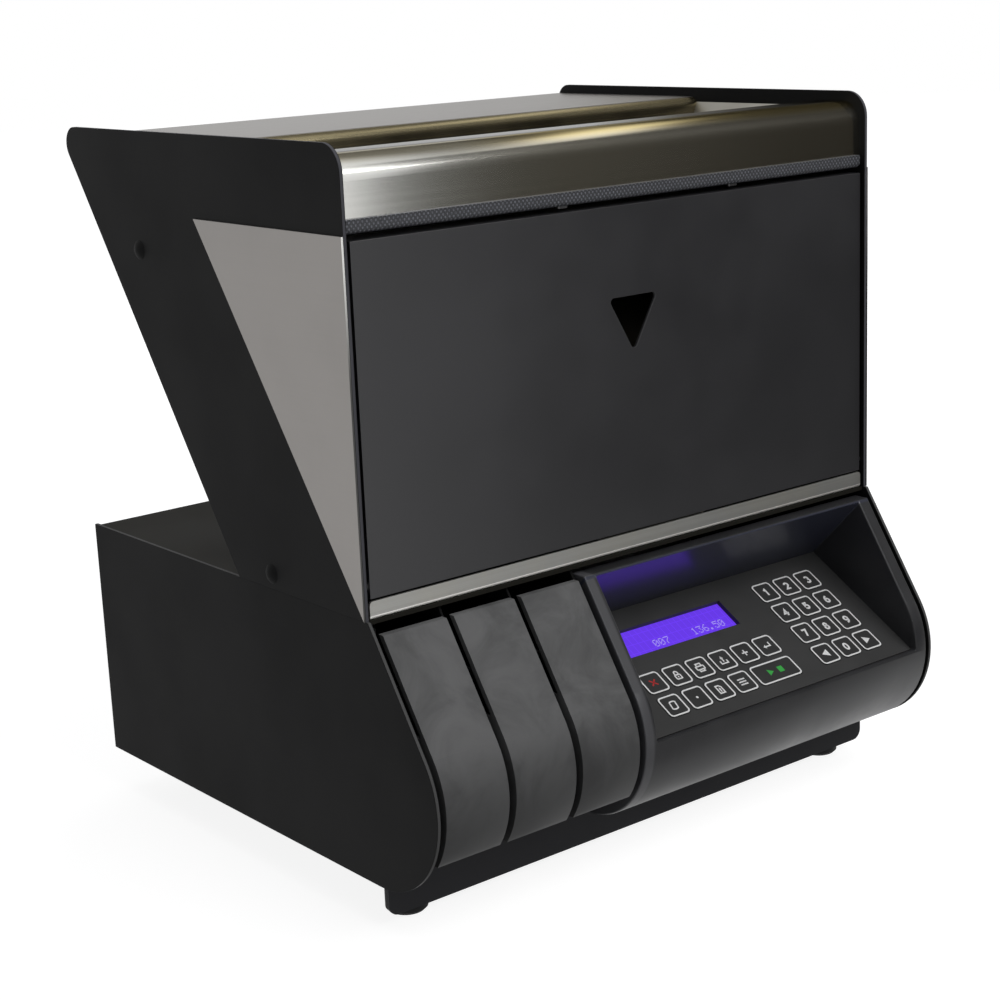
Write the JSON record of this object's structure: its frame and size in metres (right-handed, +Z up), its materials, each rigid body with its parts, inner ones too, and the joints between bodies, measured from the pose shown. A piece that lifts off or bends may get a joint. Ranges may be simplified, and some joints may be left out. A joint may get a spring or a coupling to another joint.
{
  "type": "coin counting machine",
  "caption": "Tabletop coin counter: open coin hopper over a sloped base, with a tip-out front door, pull-out coin drawers, and a recessed keypad with a lit display.",
  "frame": {"origin": "on the surface it stands on, under the middle of the base", "axes": "+Z up, +X to the user's right, -Y towards the user"},
  "size_m": [0.3444, 0.302, 0.368],
  "materials": {
    "black_paint": "satin black powder coat",
    "dark_paint": "satin dark grey powder coat",
    "door_paint": "satin dark grey powder coat",
    "stainless": "brushed along its length",
    "steel": "plain",
    "black_steel": "black",
    "edge_rubber": "knurled",
    "black_rubber": "matte",
    "drawer_grey": "satin",
    "housing_plastic": "satin",
    "keypad_film": "matte overlay",
    "key_film": "matte overlay with pale signs",
    "key_red": "matte overlay with a red sign",
    "key_green": "matte overlay with a green sign",
    "display": "lit blue display",
    "disc_alloy": "turned",
    "bronze": "plain",
    "motor_paint": "satin",
    "inlet_plastic": "satin"
  },
  "bodies": {
    "frame": {"bottom_pan": "dark_paint", "left_side_panel": "black_paint", "right_side_panel": "black_paint", "base_cover": "dark_paint", "rubber_feet": "black_rubber", "left_hopper_plate": "black_paint", "right_hopper_plate": "black_paint", "side_trims": "stainless", "plate_screws": "black_steel", "hopper_back_panel": "black_paint", "hopper_top_sheet": "stainless", "hopper_lip": "stainless", "hopper_liners": "stainless", "lip_edge_trim": "edge_rubber", "door_sill_strip": "stainless", "door_pivot_pins": "steel", "drawer_bay": "black_steel", "control_housing": "housing_plastic", "keypad_plate": "keypad_film", "display_board": "display", "mechanism_deck": "steel", "disc_bearing": "bronze", "disc_pan": "disc_alloy", "gear_motor": "motor_paint", "drive_belt": "black_rubber", "coin_chute": "steel", "coin_sensor": "housing_plastic", "power_inlet": "inlet_plastic", "power_supply": "disc_alloy"},
    "door": {"front_door": "door_paint"},
    "disc": {"feed_disc": "disc_alloy", "disc_spindle": "steel"},
    "motor_rotor": {"motor_pulley": "disc_alloy"},
    "left_drawer": {"drawer_left": "drawer_grey"},
    "middle_drawer": {"drawer_middle": "drawer_grey"},
    "right_drawer": {"drawer_right": "drawer_grey"},
    "switch_rocker": {"power_switch": "inlet_plastic"},
    "key_1_cap": {"key_1": "key_film"},
    "key_2_cap": {"key_2": "key_film"},
    "key_3_cap": {"key_3": "key_film"},
    "key_4_cap": {"key_4": "key_film"},
    "key_5_cap": {"key_5": "key_film"},
    "key_6_cap": {"key_6": "key_film"},
    "key_7_cap": {"key_7": "key_film"},
    "key_8_cap": {"key_8": "key_film"},
    "key_9_cap": {"key_9": "key_film"},
    "key_left_cap": {"key_left": "key_film"},
    "key_0_cap": {"key_0": "key_film"},
    "key_right_cap": {"key_right": "key_film"},
    "key_clear_cap": {"key_clear": "key_red"},
    "key_lock_cap": {"key_lock": "key_film"},
    "key_print_cap": {"key_print": "key_film"},
    "key_recall_cap": {"key_recall": "key_film"},
    "key_add_cap": {"key_add": "key_film"},
    "key_enter_cap": {"key_enter": "key_film"},
    "key_paper_cap": {"key_paper": "key_film"},
    "key_dot_cap": {"key_dot": "key_film"},
    "key_feed_cap": {"key_feed": "key_film"},
    "key_program_cap": {"key_program": "key_film"},
    "key_start_cap": {"key_start": "key_green"}
  },
  "joints": [
    {"name": "door_hinge", "type": "hinge", "parent": "frame", "child": "door", "pos_m": [0, -0.09907, 0.1684], "axis": [1, 0, 0], "range_deg": [0, 90]},
    {"name": "disc_spin", "type": "hinge", "parent": "frame", "child": "disc", "pos_m": [0.03, -0.01004, 0.12], "axis": [0, 0, 1], "continuous": true},
    {"name": "motor_spin", "type": "hinge", "parent": "frame", "child": "motor_rotor", "pos_m": [0.03, 0.07196, 0.116], "axis": [0, 0, 1], "continuous": true},
    {"name": "switch_tip", "type": "hinge", "parent": "frame", "child": "switch_rocker", "pos_m": [0.138, 0.1457, 0.069], "axis": [1, 0, 0], "range_deg": [0, 16]},
    {"name": "left_drawer_slide", "type": "slide", "parent": "frame", "child": "left_drawer", "axis": [0, -1, 0], "range_m": [0, 0.11]},
    {"name": "middle_drawer_slide", "type": "slide", "parent": "frame", "child": "middle_drawer", "axis": [0, -1, 0], "range_m": [0, 0.11]},
    {"name": "right_drawer_slide", "type": "slide", "parent": "frame", "child": "right_drawer", "axis": [0, -1, 0], "range_m": [0, 0.11]},
    {"name": "key_1_press", "type": "slide", "parent": "frame", "child": "key_1_cap", "axis": [0, 0.5015, -0.8652], "range_m": [0, 0.0005], "stiffness_N_per_m": 600},
    {"name": "key_2_press", "type": "slide", "parent": "frame", "child": "key_2_cap", "axis": [0, 0.5015, -0.8652], "range_m": [0, 0.0005], "stiffness_N_per_m": 600},
    {"name": "key_3_press", "type": "slide", "parent": "frame", "child": "key_3_cap", "axis": [0, 0.5015, -0.8652], "range_m": [0, 0.0005], "stiffness_N_per_m": 600},
    {"name": "key_4_press", "type": "slide", "parent": "frame", "child": "key_4_cap", "axis": [0, 0.5015, -0.8652], "range_m": [0, 0.0005], "stiffness_N_per_m": 600},
    {"name": "key_5_press", "type": "slide", "parent": "frame", "child": "key_5_cap", "axis": [0, 0.5015, -0.8652], "range_m": [0, 0.0005], "stiffness_N_per_m": 600},
    {"name": "key_6_press", "type": "slide", "parent": "frame", "child": "key_6_cap", "axis": [0, 0.5015, -0.8652], "range_m": [0, 0.0005], "stiffness_N_per_m": 600},
    {"name": "key_7_press", "type": "slide", "parent": "frame", "child": "key_7_cap", "axis": [0, 0.5015, -0.8652], "range_m": [0, 0.0005], "stiffness_N_per_m": 600},
    {"name": "key_8_press", "type": "slide", "parent": "frame", "child": "key_8_cap", "axis": [0, 0.5015, -0.8652], "range_m": [0, 0.0005], "stiffness_N_per_m": 600},
    {"name": "key_9_press", "type": "slide", "parent": "frame", "child": "key_9_cap", "axis": [0, 0.5015, -0.8652], "range_m": [0, 0.0005], "stiffness_N_per_m": 600},
    {"name": "key_left_press", "type": "slide", "parent": "frame", "child": "key_left_cap", "axis": [0, 0.5015, -0.8652], "range_m": [0, 0.0005], "stiffness_N_per_m": 600},
    {"name": "key_0_press", "type": "slide", "parent": "frame", "child": "key_0_cap", "axis": [0, 0.5015, -0.8652], "range_m": [0, 0.0005], "stiffness_N_per_m": 600},
    {"name": "key_right_press", "type": "slide", "parent": "frame", "child": "key_right_cap", "axis": [0, 0.5015, -0.8652], "range_m": [0, 0.0005], "stiffness_N_per_m": 600},
    {"name": "key_clear_press", "type": "slide", "parent": "frame", "child": "key_clear_cap", "axis": [0, 0.5015, -0.8652], "range_m": [0, 0.0005], "stiffness_N_per_m": 600},
    {"name": "key_lock_press", "type": "slide", "parent": "frame", "child": "key_lock_cap", "axis": [0, 0.5015, -0.8652], "range_m": [0, 0.0005], "stiffness_N_per_m": 600},
    {"name": "key_print_press", "type": "slide", "parent": "frame", "child": "key_print_cap", "axis": [0, 0.5015, -0.8652], "range_m": [0, 0.0005], "stiffness_N_per_m": 600},
    {"name": "key_recall_press", "type": "slide", "parent": "frame", "child": "key_recall_cap", "axis": [0, 0.5015, -0.8652], "range_m": [0, 0.0005], "stiffness_N_per_m": 600},
    {"name": "key_add_press", "type": "slide", "parent": "frame", "child": "key_add_cap", "axis": [0, 0.5015, -0.8652], "range_m": [0, 0.0005], "stiffness_N_per_m": 600},
    {"name": "key_enter_press", "type": "slide", "parent": "frame", "child": "key_enter_cap", "axis": [0, 0.5015, -0.8652], "range_m": [0, 0.0005], "stiffness_N_per_m": 600},
    {"name": "key_paper_press", "type": "slide", "parent": "frame", "child": "key_paper_cap", "axis": [0, 0.5015, -0.8652], "range_m": [0, 0.0005], "stiffness_N_per_m": 600},
    {"name": "key_dot_press", "type": "slide", "parent": "frame", "child": "key_dot_cap", "axis": [0, 0.5015, -0.8652], "range_m": [0, 0.0005], "stiffness_N_per_m": 600},
    {"name": "key_feed_press", "type": "slide", "parent": "frame", "child": "key_feed_cap", "axis": [0, 0.5015, -0.8652], "range_m": [0, 0.0005], "stiffness_N_per_m": 600},
    {"name": "key_program_press", "type": "slide", "parent": "frame", "child": "key_program_cap", "axis": [0, 0.5015, -0.8652], "range_m": [0, 0.0005], "stiffness_N_per_m": 600},
    {"name": "key_start_press", "type": "slide", "parent": "frame", "child": "key_start_cap", "axis": [0, 0.5015, -0.8652], "range_m": [0, 0.0005], "stiffness_N_per_m": 600}
  ],
  "couplings": [
    {"joint": "motor_spin", "follows": "disc_spin", "ratio": 2.3333}
  ]
}
